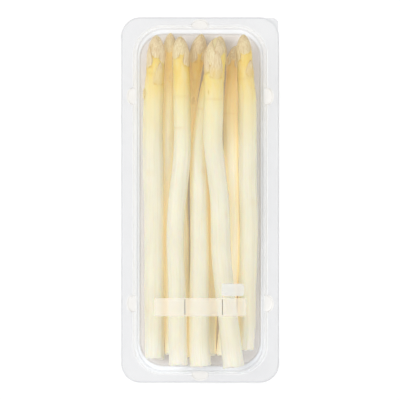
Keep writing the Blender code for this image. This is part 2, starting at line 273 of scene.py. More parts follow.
def stations():
    count = int(2 * FLOOR_HALF_LENGTH / STATION_STEP) + 3
    return [(i - (count - 1) / 2) * STATION_STEP for i in range(count)]


def support_height(y):
    return LEDGE_HEIGHT + TOUCH_GAP if abs(y) > FLOOR_HALF_LENGTH - TOUCH_GAP else SHELL


def window(values, index, reach):
    return values[max(index - reach, 0) : index + reach + 1]


def smooth_above(values):
    reach = round(STIFF_LENGTH / STATION_STEP)
    line = [max(window(values, i, 2 * reach)) for i in range(len(values))]
    for _ in range(2):
        line = [sum(window(line, i, reach)) / len(window(line, i, reach)) for i in range(len(line))]
    return line


def lay(spears):
    """Each spear's height along the tray, as (y, z) points: on the floor, or on the spears laid before it."""
    places = stations()
    heights = {}
    for spear in spears:
        lowest = []
        for y in places:
            within = min(max(y, cut_y(spear)), tip_y(spear))
            radius = clear_radius_at(spear, tip_y(spear) - within)
            height = support_height(within) + radius + TOUCH_GAP
            for other in spears[: spears.index(spear)]:
                if not cut_y(other) <= within <= tip_y(other):
                    continue
                apart = abs(side_at(spear, within) - side_at(other, within))
                reach = radius + clear_radius_at(other, tip_y(other) - within) + SPEAR_GAP
                if apart < reach:
                    below = through(heights[other.name], within)
                    height = max(height, below + math.sqrt(reach**2 - apart**2))
            lowest.append(height)
        heights[spear.name] = list(zip(places, smooth_above(lowest)))
    return heights


HEIGHTS = lay(SPEARS)


# No ring is narrower than this, so that a stem's point keeps its faces.
LEAST_RADIUS = 0.02 * MM


class Axis:
    """A spear's axis, sampled finely once to a little beyond its ends, with the directions across it."""

    STEP = 0.5 * MM
    BEYOND = 2.0 * MM

    def __init__(self, spear):
        self.length = tip_y(spear) - cut_y(spear)
        self.distances = np.arange(-self.BEYOND, self.length + self.BEYOND, self.STEP)
        y = tip_y(spear) - self.distances
        self.centres = np.array([(side_at(spear, v), v, through(HEIGHTS[spear.name], v)) for v in y])
        along = np.gradient(self.centres, axis=0)
        along /= np.linalg.norm(along, axis=1)[:, None]
        right = np.cross(-along, np.array((0.0, 0.0, 1.0)))
        right /= np.linalg.norm(right, axis=1)[:, None]
        self.right = right
        self.up = np.cross(right, -along)
        self.radii = np.array([radius_at(spear, v) for v in self.distances])

    def sample(self, table, distance):
        """A table's values, one for each of the axis's own places, at these distances from the tip."""
        if table.ndim == 1:
            return np.interp(distance, self.distances, table)
        columns = [np.interp(distance, self.distances, table[:, k]) for k in range(3)]
        return np.stack(columns, axis=-1)

    def surface(self, distance, angle, rise):
        """Points at these distances from the tip and angles from straight up, and this far off the stem."""
        distance, angle, rise = np.broadcast_arrays(distance, angle, rise)
        across = self.sample(self.up, distance) * np.cos(angle)[..., None]
        across = across + self.sample(self.right, distance) * np.sin(angle)[..., None]
        radius = np.maximum(self.sample(self.radii, distance) + rise, LEAST_RADIUS)
        return self.sample(self.centres, distance) + across * radius[..., None]


def smoothstep(low, high, x):
    """From 0 to 1, smoothly, as x goes from low to high."""
    t = np.clip((x - low) / (high - low), 0.0, 1.0)
    return t * t * (3 - 2 * t)


class Skin:
    """Vertices, faces and the figures that the material reads, gathered into one mesh."""

    def __init__(self):
        self.points, self.faces, self.figures = [], [], {"skin": [], "mark": []}
        self.slots = []
        self.count = 0

    def grid(self, points, skin, mark, closed, flip=False, slot=0):
        """Rows of points joined by faces, each row closed into a ring or left open."""
        rows, columns = points.shape[:2]
        self.points.append(points.reshape(-1, 3))
        self.figures["skin"].append(skin.reshape(-1, 3))
        self.figures["mark"].append(mark.reshape(-1, 3))
        wrap = columns if closed else columns - 1
        for j in range(rows - 1):
            for i in range(wrap):
                k = (i + 1) % columns
                a, b = self.count + j * columns + i, self.count + j * columns + k
                c, e = a + columns, b + columns
                self.faces.append((a, c, e, b) if flip else (a, b, e, c))
                self.slots.append(slot)
        self.count += rows * columns

    def build(self, name, materials):
        """All that was gathered, as one object."""
        mesh = bpy.data.meshes.new(name)
        mesh.from_pydata(np.concatenate(self.points).tolist(), [], self.faces)
        for key, values in self.figures.items():
            layer = mesh.attributes.new(key, "FLOAT_VECTOR", "POINT")
            layer.data.foreach_set("vector", np.concatenate(values).astype(np.float32).ravel())
        for material in materials:
            mesh.materials.append(material)
        mesh.polygons.foreach_set("material_index", self.slots)
        mesh.shade_smooth()
        obj = bpy.data.objects.new(name, mesh)
        bpy.context.scene.collection.objects.link(obj)
        return obj


SIDES = 72
RING_STEP = 1.3 * MM
TIP_RING_STEP = 0.35 * MM
TIP_RINGS_TO = 16.0 * MM
BEVEL = 1.1 * MM
# How far in from the cut's edge its rings lie. Those inside this share of its radius are left out.
CUT_RINGS_TO = 0.92
CUT_RINGS = np.array((0.0, 0.25, 0.55, 1.0, 1.6, 2.4, 3.3, 4.2)) * MM
# The first rings are the bevel's and keep the flesh's colour.
BEVEL_ROWS = 2
SLANT_REACH = 12.0 * MM
RAGGED_REACH = 5.0 * MM

# How high the stem's relief is, where along it the relief sets in, and its scars: all in millimetres.
WIDE_FLATS = 0.07
NARROW_FLATS = 0.05
LONG_SWELLINGS = 0.10
SHORT_SWELLINGS = 0.07
SCAR_SWELLING = 0.14
BLOTCH_SWELLING = 0.06
RELIEF_FROM, RELIEF_FULL = 14.0, 40.0
# Nearer the tip than this a scar is a line, and further down it is a soft yellow blotch.
BLOTCH_FROM = 64.0
# A scar that reaches fewer degrees than this is a nick.
NICK_REACH = 10


def turn_from(angle, degrees):
    """How far round the stem each angle is from this one, in radians, whichever way is shorter."""
    return np.abs((angle - math.radians(degrees) + math.pi) % (2 * math.pi) - math.pi)


def hump(off, reach):
    """1 at a place and falling smoothly to nothing a few reaches away from it."""
    return np.exp(-((off / reach) ** 2))


def stem_relief(spear, rng, distance, angle):
    """What a stem's surface stands out or in by: peeled flats, slow swellings and scars."""
    mm = distance / MM
    phase = rng.uniform(0, 2 * math.pi, 6)
    body = smoothstep(RELIEF_FROM, RELIEF_FULL, mm)
    flats = WIDE_FLATS * np.cos(9 * angle + phase[0] + 0.9 * np.sin(mm * 0.045 + phase[1]))
    flats = flats + NARROW_FLATS * np.cos(14 * angle + phase[2] + 1.1 * np.sin(mm * 0.031 + phase[3]))
    slow = LONG_SWELLINGS * np.sin(mm * 0.075 + phase[4])
    slow = slow + SHORT_SWELLINGS * np.sin(mm * 0.17 + phase[5] + angle)
    relief = body * (flats + slow)
    for at, degrees, reach in spear.scars:
        turn = turn_from(angle, degrees)
        across = np.clip(1.4 - turn / math.radians(reach), 0, 1)
        off = mm - at - 0.8 * np.cos(turn * 1.5)
        swell = SCAR_SWELLING if at < BLOTCH_FROM else BLOTCH_SWELLING
        relief = relief + across * swell * (hump(off, 1.3) - 0.7 * hump(off - 1.9, 0.9))
    return relief * MM


def seam_mark(spear, distance, angle):
    """How near a place on the stem is to a scale's base or a scar, for the yellow growth lines."""
    mm = distance / MM
    seam = np.zeros(np.broadcast(distance, angle).shape)
    for at, degrees, width, _ in spear.scales:
        turn = turn_from(angle, degrees)
        reach = width * MM / 2 / radius_at(spear, at * MM)
        inside = np.clip((reach * 1.15 - turn) / (reach * 0.3), 0, 1)
        seam = np.maximum(seam, inside * hump(mm - at - 0.3, 0.7))
    for at, degrees, reach in spear.scars:
        turn = turn_from(angle, degrees)
        inside = np.clip(1.4 - turn / math.radians(reach), 0, 1)
        if reach < NICK_REACH:
            seam = np.maximum(seam, 1.6 * hump(turn, math.radians(reach)) * hump(mm - at, 1.3))
        elif at < BLOTCH_FROM:
            seam = np.maximum(seam, 0.35 * inside * hump(mm - at - 0.8, 0.9))
        else:
            seam = np.maximum(seam, 0.2 * inside**2 * hump(mm - at, 2.6))
    return seam


def stacked(*parts):
    """These figures as one table of triples, each stretched to the same shape."""
    return np.stack(np.broadcast_arrays(*parts), axis=-1)


def skin_coords(radius, angle, distance):
    """Where the material's patterns take a place on the stem to be, as if the stem were straight."""
    return stacked(radius * np.cos(angle), radius * np.sin(angle), distance)


def add_stem(skin, spear, axis, rng):
    """The stem, from its pointed tip to its square cut end."""
    near = np.arange(0.0, TIP_RINGS_TO, TIP_RING_STEP)
    end = axis.length - BEVEL
    far = np.linspace(TIP_RINGS_TO, end, int((end - TIP_RINGS_TO) / RING_STEP))
    distance = np.concatenate([near, far])[:, None]
    angle = (np.arange(SIDES) * 2 * math.pi / SIDES)[None, :]
    rise = stem_relief(spear, rng, distance, angle)
    points = axis.surface(distance, angle, rise)
    near_cut = smoothstep(axis.length - SLANT_REACH, axis.length, distance)
    slant = near_cut * spear.slant * MM * np.sin(angle) / 2
    ragged = 0.3 * np.sin(3 * angle + rng.uniform(0, 6)) + 0.18 * np.sin(8 * angle + rng.uniform(0, 6))
    points[..., 1] += slant + smoothstep(axis.length - RAGGED_REACH, axis.length, distance) * ragged * MM
    coords = skin_coords(axis.sample(axis.radii, distance) / MM, angle, distance / MM)
    seam = seam_mark(spear, distance, angle)
    mark = stacked(np.zeros(seam.shape), seam, np.zeros(seam.shape))
    # The cut end: a small bevel, then rings in to the middle.
    end_radius = axis.sample(axis.radii, axis.length)
    inward = CUT_RINGS[CUT_RINGS < end_radius * CUT_RINGS_TO]
    drop = BEVEL * np.sqrt(np.clip(1 - (1 - np.minimum(inward / BEVEL, 1.0)) ** 2, 0, 1))
    rows, row_coords = [], []
    last_rise = rise[-1:]
    for step, back in zip(inward[1:], drop[1:]):
        at = np.full((1, 1), axis.length - BEVEL + back)
        ring = axis.surface(at, angle, last_rise * (1 - step / end_radius) - step)
        ring[..., 1] += (spear.slant * np.sin(angle) / 2 + ragged) * MM * (1 - step / end_radius)
        rows.append(ring)
        row_coords.append(skin_coords((end_radius - step) / MM, angle, at / MM))
    middle = np.full((1, 1), axis.length)
    rows.append(axis.surface(middle, angle, -end_radius))
    row_coords.append(skin_coords(0.0, angle, middle / MM))
    cut = np.concatenate(rows)
    cut_mark = np.zeros(cut.shape)
    cut_mark[BEVEL_ROWS:, :, 2] = 1.0
    skin.grid(
        np.concatenate([points, cut]),
        np.concatenate([coords, *row_coords]),
        np.concatenate([mark, cut_mark]),
        closed=True,
    )


SCALE_ACROSS = 23
SCALE_ALONG = 30
# A scale stays this far short of the stem's point, and reaches at most this angle round it on each side.
SCALE_STOPS_AT = 0.4 * MM
MOST_HALF_ANGLE = 1.5
# It is widened at most this many times as the stem thins, which is followed down to this radius.
MOST_WIDENING = 1.5
THINNEST_FOLLOWED = 1.6 * MM
# How far a scale stands off the stem: at its base, more for each layer that it lies over, along its belly
# and its keel, less at its edges, and more at the free point of a scale that grows beyond POINTS_FROM.
BASE_LIFT = 0.22 * MM
LAYER_LIFT = 0.15 * MM
BELLY = 0.22 * MM
KEEL = 0.10 * MM
EDGE_DROP = 0.14 * MM
POINT_LIFT = 0.30 * MM
POINTS_FROM = 24.0 * MM
# The walls of a scale go down this far, and at least this far under the stem's surface.
WALL_DEPTH = 0.5 * MM
WALL_SUNK = 0.3 * MM

# The layers that the scales lie in, from the tip's innermost to those listed with the spears.
BUD_LAYER_STEP = 0.25
BACK_LAYER = 1.2
FRONT_LAYER = 1.6
FRONT_LAYER_STEP = 0.3
BUD_SCALES = 6
GOLDEN_ANGLE = 137.5
BACK_ANGLES = (150, -150, 180, 120, -120)


def add_scale(skin, spear, axis, rng, base, degrees, width, length, layer):
    """One pointed scale lying on the stem, with its own thickness and a slightly free point."""
    base, length = base * MM, length * MM
    length = min(length, base - SCALE_STOPS_AT)
    v = np.linspace(0.0, 1.0, SCALE_ALONG)[:, None]
    u = np.linspace(-1.0, 1.0, SCALE_ACROSS)[None, :]
    lean = rng.uniform(-0.10, 0.10)
    tint = rng.uniform(0.0, 1.0)
    bulge = rng.uniform(0.9, 1.1)
    half = min(width * MM / 2 / radius_at(spear, base), MOST_HALF_ANGLE)
    # The scale's outline: it widens from its base, then narrows to a point.
    share = 0.80 + 0.26 * np.sin(np.clip(v / 0.3, 0, 1) * math.pi / 2)
    share = share * np.clip(1 - v**1.7, 0.0, 1) ** 0.9
    share = share * (0.82 + 0.18 * np.sqrt(np.clip(v / 0.08, 0, 1)))
    ragged = 0.25 * np.sin(7 * u + 6.28 * tint) + 0.15 * np.sin(13 * u + 3 * tint)
    curve = (1.3 * (1 - u * u) + ragged) * MM * (1 - v) ** 3
    distance = base + curve - length * v
    # Nearer the tip the stem thins, so the same width reaches further round it.
    grow = radius_at(spear, base) / np.maximum(axis.sample(axis.radii, distance), THINNEST_FOLLOWED)
    angle = math.radians(degrees) + lean * v + u * half * share * np.minimum(grow, MOST_WIDENING)
    lift = BASE_LIFT + LAYER_LIFT * layer
    rise = lift * (0.5 + 0.5 * smoothstep(0.0, 0.22, v)) * bulge
    rise = rise + POINT_LIFT * smoothstep(0.75, 1.0, v) * (base > POINTS_FROM)
    rise = rise + BELLY * (1 - u * u) * np.sin(np.clip(v, 0, 1) * math.pi) ** 0.8
    rise = rise + KEEL * hump(u, 0.16) * v - EDGE_DROP * np.abs(u) ** 5
    distance, angle, rise = np.broadcast_arrays(distance, angle, rise)
    outer = axis.surface(distance, angle, rise)
    coords = skin_coords(axis.sample(axis.radii, distance) / MM, angle, distance / MM)
    rim = np.maximum(np.abs(u), 1 - (1 - v) * 6)
    mark = stacked(0.02 + 0.98 * v, np.full((1, 1), tint), np.clip(rim, 0, 1) * 0.9)
    skin.grid(outer, coords, mark, closed=False, flip=True, slot=SCALE_SLOT)
    # The sides go down into the stem: the outline is repeated, sunk.
    order = [(0, i) for i in range(SCALE_ACROSS)]
    order += [(j, SCALE_ACROSS - 1) for j in range(1, SCALE_ALONG)]
    order += [(SCALE_ALONG - 1, i) for i in range(SCALE_ACROSS - 2, -1, -1)]
    order += [(j, 0) for j in range(SCALE_ALONG - 2, 0, -1)]
    border = tuple(np.array(order).T)
    sunk = np.minimum(rise[border] - WALL_DEPTH, -WALL_SUNK)
    wall = np.stack([outer[border], axis.surface(distance[border], angle[border], sunk)])
    wall_coords = np.stack([coords[border]] * 2)
    wall_mark = np.stack([mark[border]] * 2)
    skin.grid(wall, wall_coords, wall_mark, closed=True, flip=True, slot=SCALE_SLOT)


def bud_scales(spear):
    """The small scales that close the tip, inside the listed ones, in a spiral a golden angle apart."""
    first_at, first_angle = spear.scales[0][:2]
    for n in range(BUD_SCALES):
        at = first_at * (0.36 + 0.11 * n)
        yield at, first_angle + GOLDEN_ANGLE * (BUD_SCALES - n), 5.0 + 0.5 * n, at * 0.94


def hidden_scales(spear):
    """Further scales round the back, so that the tip is clothed from every side."""
    deepest = spear.scales[:3][-1][0]
    for n, degrees in enumerate(BACK_ANGLES):
        at = deepest * (0.72 + 0.12 * n)
        yield at, degrees, 8.0, min(at * 0.8, 13.0)


# How far away the surroundings count that make a place open or closed in.
OPEN_REACH = 8.0 * MM


def linear(r, g, b):
    """An sRGB colour, 0 to 255 and none of it near black, as linear RGBA."""
    return (*(((c / 255 + 0.055) / 1.055) ** 2.4 for c in (r, g, b)), 1.0)


class Nodes:
    """A short way to write a node tree."""

    def __init__(self, name):
        self.material = bpy.data.materials.new(name)
        self.material.use_nodes = True
        self.tree = self.material.node_tree
        self.shader = self.tree.nodes["Principled BSDF"]

    def add(self, kind, **settings):
        """A new node with these settings."""
        node = self.tree.nodes.new(kind)
        for key, value in settings.items():
            setattr(node, key, value)
        return node

    def put(self, socket, value):
        """Sets an input to a value, or links another node's output to it."""
        if isinstance(value, bpy.types.NodeSocket):
            self.tree.links.new(value, socket)
        else:
            socket.default_value = value

    def math(self, operation, a, b=0.0, c=0.0, clamp=False):
        node = self.add("ShaderNodeMath", operation=operation, use_clamp=clamp)
        for socket, value in zip(node.inputs, (a, b, c)):
            self.put(socket, value)
        return node.outputs[0]

    def ramp(self, value, low, high, start=0.0, end=1.0):
        """Smoothly from start to end as value goes from low to high."""
        node = self.add("ShaderNodeMapRange", interpolation_type="SMOOTHSTEP")
        for socket, v in zip(node.inputs, (value, low, high, start, end)):
            self.put(socket, v)
        return node.outputs[0]

    def mix(self, factor, a, b):
        node = self.add("ShaderNodeMix", data_type="RGBA")
        self.put(node.inputs["Factor"], factor)
        self.put(node.inputs[6], a)
        self.put(node.inputs[7], b)
        return node.outputs[2]

    def parts(self, vector):
        """A vector's x, y and z."""
        node = self.add("ShaderNodeSeparateXYZ")
        self.put(node.inputs[0], vector)
        return node.outputs

    def open_share(self):
        """How open a place is, from 0 to 1, to what lies within about a spear's width of it."""
        node = self.add("ShaderNodeAmbientOcclusion", samples=6)
        node.inputs["Distance"].default_value = OPEN_REACH
        return node.outputs["AO"]

    def noise(self, vector, scale, detail=3.0, stretch=(1, 1, 1), shift=0.0, roughness=0.5):
        """A cloudy pattern, drawn out along an axis where that axis's stretch is below 1."""
        mapping = self.add("ShaderNodeMapping")
        self.put(mapping.inputs["Vector"], vector)
        mapping.inputs["Location"].default_value = (shift, shift * 1.7, shift * 0.6)
        mapping.inputs["Scale"].default_value = stretch
        node = self.add("ShaderNodeTexNoise")
        self.put(node.inputs["Vector"], mapping.outputs[0])
        node.inputs["Scale"].default_value = scale
        node.inputs["Detail"].default_value = detail
        node.inputs["Roughness"].default_value = roughness
        return node.outputs["Fac"]

    def bump(self, height, strength, distance, normal=None):
        """A fine relief, on top of another one where its normal is given."""
        node = self.add("ShaderNodeBump")
        self.put(node.inputs["Height"], height)
        node.inputs["Strength"].default_value = strength
        node.inputs["Distance"].default_value = distance
        if normal is not None:
            self.put(node.inputs["Normal"], normal)
        return node.outputs[0]


# The flesh's colours.
FLESH = linear(234, 231, 211)
FLESH_SHADE = linear(231, 227, 206)
FIBRE = linear(222, 214, 178)
PALE_YELLOW = linear(234, 224, 172)
STRONG_YELLOW = linear(235, 209, 118)
SHADE_OCHRE = linear(238, 201, 122)
GROWTH_LINE = linear(214, 176, 98)
PAINTED_GAP_GLOW = linear(240, 221, 168)
DRIED = linear(241, 239, 230)
CUT = linear(246, 245, 236)
CUT_FIBRE = linear(222, 216, 190)
OWN_LIGHT = linear(228, 214, 180)

# The scales' colours.
SCALE_PALE = linear(228, 213, 172)
SCALE_SHADE = linear(218, 199, 154)
SCALE_SEAM = linear(222, 196, 162)
SCALE_BASE = linear(238, 222, 160)
SCALE_POINT = linear(203, 172, 132)
SCALE_EDGE_SHADE = linear(176, 138, 96)
FLECK = linear(178, 144, 102)
DARK_VEIN = linear(205, 176, 128)
PAINTED_HIGHLIGHT_STREAK = linear(243, 232, 198)

# The tray's colours, besides those that its materials are made with.
PAINTED_RIM_HIGHLIGHT = linear(248, 249, 250)
PAINTED_EDGE_SHADE = linear(200, 203, 207)
WARM_SHADE_UNDER_SPEARS = linear(212, 168, 98)
WARM_GLOW_UNDER_SPEARS = linear(216, 168, 92)

# The top of the tray, where its plastic is the rim's, begins between these two heights.
RIM_FROM, RIM_FULL = 25.0 * MM, 25.6 * MM


def flesh_colour(n, spear, skin, distance, seam, patch, streak, shift):
    """A stem's colour: ivory, yellow below the tip, and a painted warm shade towards the tip of a spear lying
    low.
    """
    broad = n.noise(skin, 0.09, 2.0, (1, 1, 0.5), shift)
    colour = n.mix(n.ramp(broad, 0.35, 0.65), FLESH, FLESH_SHADE)
    colour = n.mix(n.ramp(streak, 0.45, 0.72, 0.0, 0.3), colour, FIBRE)
    # The yellow is strong next to the scales, and pale as it fades further down the stem.
    pale = n.math("MULTIPLY", n.ramp(distance, 30.0, 88.0, 1.0, 0.0), n.ramp(patch, 0.2, 0.7, 0.6, 1.0))
    colour = n.mix(pale, colour, PALE_YELLOW)
    strong = n.math("MULTIPLY", n.ramp(distance, 20.0, 50.0, 1.0, 0.0), n.ramp(patch, 0.25, 0.65, 0.5, 1.0))
    colour = n.mix(strong, colour, STRONG_YELLOW)
    # The spears lower in the tray are painted a warmer ochre towards their tips: painted shade and bounced
    # light from the spears around them.
    painted_ochre_shade = n.math("MULTIPLY", n.ramp(distance, 36.0, 84.0, 1.0, 0.16), spear.warmth)
    colour = n.mix(painted_ochre_shade, colour, SHADE_OCHRE)
    return n.mix(n.math("MULTIPLY", seam, 0.6, clamp=True), colour, GROWTH_LINE)


def scale_colour(n, skin, distance, along, seam, rim, patch, shift):
    """A scale's colour: beige, yellow at its base and browner at its point, with a thin painted shade line
    along its edge, dark veins and painted highlights between them.
    """
    colour = n.mix(n.ramp(patch, 0.3, 0.7), SCALE_PALE, SCALE_SHADE)
    colour = n.mix(n.math("MULTIPLY", seam, 0.5), colour, SCALE_SEAM)
    flecks = n.ramp(n.noise(skin, 1.1, 3.0, (1, 1, 0.6), shift + 23, 0.6), 0.62, 0.70, 0.0, 0.45)
    colour = n.mix(flecks, colour, FLECK)
    colour = n.mix(n.ramp(along, 0.02, 0.14, 0.55, 0.0), colour, SCALE_BASE)
    colour = n.mix(n.ramp(along, 0.55, 1.0, 0.0, 0.45), colour, SCALE_POINT)
    # A thin darker line along each scale's edge: painted shade where one scale lies over the next.
    scale_edge_shade = n.math("MULTIPLY", n.ramp(rim, 0.78, 0.90), n.ramp(distance, 18.0, 24.0, 0.6, 0.3))
    colour = n.mix(scale_edge_shade, colour, SCALE_EDGE_SHADE)
    # Dark veins, and between them pale streaks that are painted highlights.
    veins_and_highlights = n.noise(skin, 2.4, 3.0, (1, 1, 0.09), shift + 31)
    colour = n.mix(n.ramp(veins_and_highlights, 0.5, 0.66, 0.0, 0.4), colour, DARK_VEIN)
    return n.mix(n.ramp(veins_and_highlights, 0.5, 0.34, 0.0, 0.7), colour, PAINTED_HIGHLIGHT_STREAK)


def spear_material(spear, shift, thin):
    """The flesh of a stem, or of its scales where thin is true: those let no light through."""
    n = Nodes(("scales_" if thin else "flesh_") + spear.name)
    skin = n.add("ShaderNodeAttribute", attribute_name="skin").outputs["Vector"]
    along, seam, rim = n.parts(n.add("ShaderNodeAttribute", attribute_name="mark").outputs["Vector"])
    distance = n.parts(skin)[2]
    on_scale = n.math("GREATER_THAN", along, 0.01)
    streak = n.noise(skin, 1.3, 3.0, (1, 1, 0.035), shift + 3)
    fine = n.noise(skin, 3.2, 4.0, (1, 1, 0.25), shift + 7)
    patch = n.noise(skin, 0.25, 3.0, (1, 1, 0.35), shift + 11)

    colour = flesh_colour(n, spear, skin, distance, seam, patch, streak, shift)
    bud = n.ramp(distance, 8.0, 12.0, 1.0, 0.0)
    clothed = n.math("MULTIPLY", n.math("MAXIMUM", on_scale, bud), n.ramp(distance, 18.0, 26.0, 0.95, 0.3))
    colour = n.mix(clothed, colour, scale_colour(n, skin, distance, along, seam, rim, patch, shift))
    # Between the spears the flesh is painted a warm ochre, and below given a little glow: painted light for
    # the light that has gone through the flesh.
    closed_in = n.ramp(n.open_share(), 0.1, 0.7, 1.0, 0.0)
    colour = n.mix(n.math("MULTIPLY", closed_in, 0.5), colour, PAINTED_GAP_GLOW)
    # The last stretch is paler and more streaked, where the stem has dried.
    length = (tip_y(spear) - cut_y(spear)) / MM
    fibres = n.noise(skin, 2.2, 2.0, (1, 1, 0.03), shift + 41)
    last = n.ramp(distance, length - 20.0, length - 2.0)
    dry = n.math("MULTIPLY", last, n.ramp(fibres, 0.4, 0.6, 0.25, 0.85))
    colour = n.mix(dry, colour, DRIED)
    # The cut end is paler and drier, with the ends of its fibres showing.
    on_cut = n.math("MULTIPLY", n.math("SUBTRACT", 1.0, on_scale), rim)
    spots = n.ramp(n.noise(skin, 2.6, 2.0, (1, 1, 1), shift + 17), 0.52, 0.62)
    colour = n.mix(on_cut, colour, n.mix(n.math("MULTIPLY", spots, 0.5), CUT, CUT_FIBRE))
    n.put(n.shader.inputs["Base Color"], colour)
    # A little light of its own stands for what the flesh passes on.
    n.shader.inputs["Emission Color"].default_value = OWN_LIGHT
    lift = n.ramp(distance, 10.0, 36.0, 0.4 * spear.lift, spear.lift)
    n.put(n.shader.inputs["Emission Strength"], n.math("MULTIPLY_ADD", closed_in, 0.2, lift))

    rough = n.ramp(fine, 0.3, 0.7, 0.42, 0.58)
    n.put(n.shader.inputs["Roughness"], n.math("ADD", rough, n.math("MULTIPLY", on_scale, 0.1)))
    n.shader.inputs["IOR"].default_value = 1.4
    n.shader.inputs["Subsurface Weight"].default_value = 0.0 if thin else 0.5
    n.shader.inputs["Subsurface Radius"].default_value = (1.0, 0.72, 0.35)
    n.shader.inputs["Subsurface Scale"].default_value = 5.0 * MM
    ridge = n.bump(streak, 0.22, 0.6 * MM)
    n.put(n.shader.inputs["Normal"], n.bump(fine, 0.22, 0.3 * MM, ridge))
    return n.material


def plastic_material(name, colour, alpha, roughness, wave, rim_colour=None, glow=0.0):
    """A clear plastic or a thin ink. The tray's own has a rim_colour, and with it painted light and shade: a
    highlight on its rim, shade on its lower edges, a lighter glowing well, and a warm tint under the spears.
    """
    n = Nodes(name)
    where = n.add("ShaderNodeTexCoord").outputs["Object"]
    cloud = n.noise(where, 12.0, 1.0)
    tint = n.mix(n.ramp(cloud, 0.35, 0.65), linear(*colour), linear(*(c - 2 for c in colour)))
    if rim_colour:
        # The well's plastic is tinted lighter than the rim's: painted light against the shade that falls in
        # the well.
        at_rim = n.ramp(n.parts(where)[2], RIM_FROM, RIM_FULL)
        tint = n.mix(at_rim, tint, linear(*rim_colour))
        # Painted highlight: the rounded rim of the well is tinted a thin bright line, with a little glow; and
        # painted shade: the rounded edges lower down are tinted darker.
        level = n.math("ABSOLUTE", n.parts(n.add("ShaderNodeNewGeometry").outputs["Normal"])[2])
        on_edge = n.math("MULTIPLY", n.ramp(level, 0.28, 0.5), n.ramp(level, 0.9, 0.98, 1.0, 0.0))
        rim_highlight = n.math("MULTIPLY", on_edge, at_rim)
        below = n.math("SUBTRACT", 1.0, at_rim)
        tray_edge_shade = n.math("MULTIPLY", on_edge, below)
        tint = n.mix(rim_highlight, tint, PAINTED_RIM_HIGHLIGHT)
        tint = n.mix(n.math("MULTIPLY", tray_edge_shade, 0.2), tint, PAINTED_EDGE_SHADE)
        # Under the spears the tray is tinted a warm brown and glows warm: painted shade and painted light for
        # the light that reaches it through their flesh.
        closed_in = n.math("MULTIPLY", n.ramp(n.open_share(), 0.05, 0.22, 0.9, 0.0), below)
        tint = n.mix(closed_in, tint, WARM_SHADE_UNDER_SPEARS)
        n.put(n.shader.inputs["Emission Color"], n.mix(closed_in, linear(*colour), WARM_GLOW_UNDER_SPEARS))
        # Below the rim the tray glows a little, away from its dark edges: painted light in its shaded well.
        glowing = n.math("MULTIPLY", n.math("SUBTRACT", below, tray_edge_shade, clamp=True), glow)
        shine = n.math("MAXIMUM", glowing, n.math("MULTIPLY", rim_highlight, 0.13))
        n.put(n.shader.inputs["Emission Strength"], shine)
    n.put(n.shader.inputs["Base Color"], tint)
    n.shader.inputs["Alpha"].default_value = alpha
    n.put(n.shader.inputs["Roughness"], n.ramp(cloud, 0.3, 0.7, roughness, roughness + 0.03))
    n.shader.inputs["IOR"].default_value = 1.5
    n.put(n.shader.inputs["Normal"], n.bump(n.noise(where, 55.0, 1.0, shift=4), wave, 0.8 * MM))
    return n.material


def lug_bulge(share):
    """How far out a lug's rounded outline is at a share of its half length."""
    return math.sqrt(max(1 - share * share, 0.0))


def outline(level, square=None):
    """A rounded rectangle as points, with bulges where the lugs are. square is one corner's own radius."""
    a, b = level.half_width, level.half_length
    points = []
    corners = (((1, 1), 0), ((-1, 1), 90), ((-1, -1), 180), ((1, -1), 270))
    lug_centres = ((0.0,), (SIDE_LUG_Y, -SIDE_LUG_Y), (0.0,), (-SIDE_LUG_Y, SIDE_LUG_Y))
    for ((sx, sy), first), centres in zip(corners, lug_centres):
        radius = square if square and (sx, sy) == (1, 1) else level.corner
        for step in range(CORNER_STEPS + 1):
            angle = math.radians(first + 90 * step / CORNER_STEPS)
            x = sx * (a - radius) + radius * math.cos(angle)
            y = sy * (b - radius) + radius * math.sin(angle)
            points.append(Vector((x, y, level.z)))
        for centre in centres:
            for k in range(LUG_POINTS):
                share = -math.cos(math.pi * k / (LUG_POINTS - 1))
                out = level.lug * lug_bulge(share)
                if first in (0, 180):
                    side = 1 if first == 0 else -1
                    points.append(Vector((-side * share * LUG_HALF_LENGTH, side * (b + out), level.z)))
                else:
                    side = -1 if first == 90 else 1
                    along = centre + side * share * LUG_HALF_LENGTH
                    points.append(Vector((side * (a + out), along, level.z)))
    return points


def wall_level(z, lug):
    """The leaning wall's outline at a height."""
    share = (z - LEDGE_HEIGHT) / (TRAY_DEPTH - LEDGE_HEIGHT)
    half_width = LEDGE_HALF_WIDTH + (WELL_HALF_WIDTH - LEDGE_HALF_WIDTH) * share
    half_length = LEDGE_HALF_LENGTH + (WELL_HALF_LENGTH - LEDGE_HALF_LENGTH) * share
    return Level(half_width, half_length, WELL_CORNER - WELL_CORNER_TIGHTENS * (1 - share), z, lug)


def floor_rim(share, z):
    """The outline this share of the rounding's size outside the floor, where the ledge turns down to it."""
    out = share * FLOOR_ROUND
    return Level(FLOOR_HALF_WIDTH + out, FLOOR_HALF_LENGTH + out, FLOOR_RIM_CORNER, z, 0)


def rounded(first, second, corner_level, steps=4):
    """Levels that turn smoothly from first to second round a corner between them."""
    shares = [i / steps for i in range(steps + 1)]
    return [
        Level(*((1 - t) ** 2 * a + 2 * t * (1 - t) * c + t * t * b
                for a, c, b in zip(first, corner_level, second)))
        for t in shares
    ]


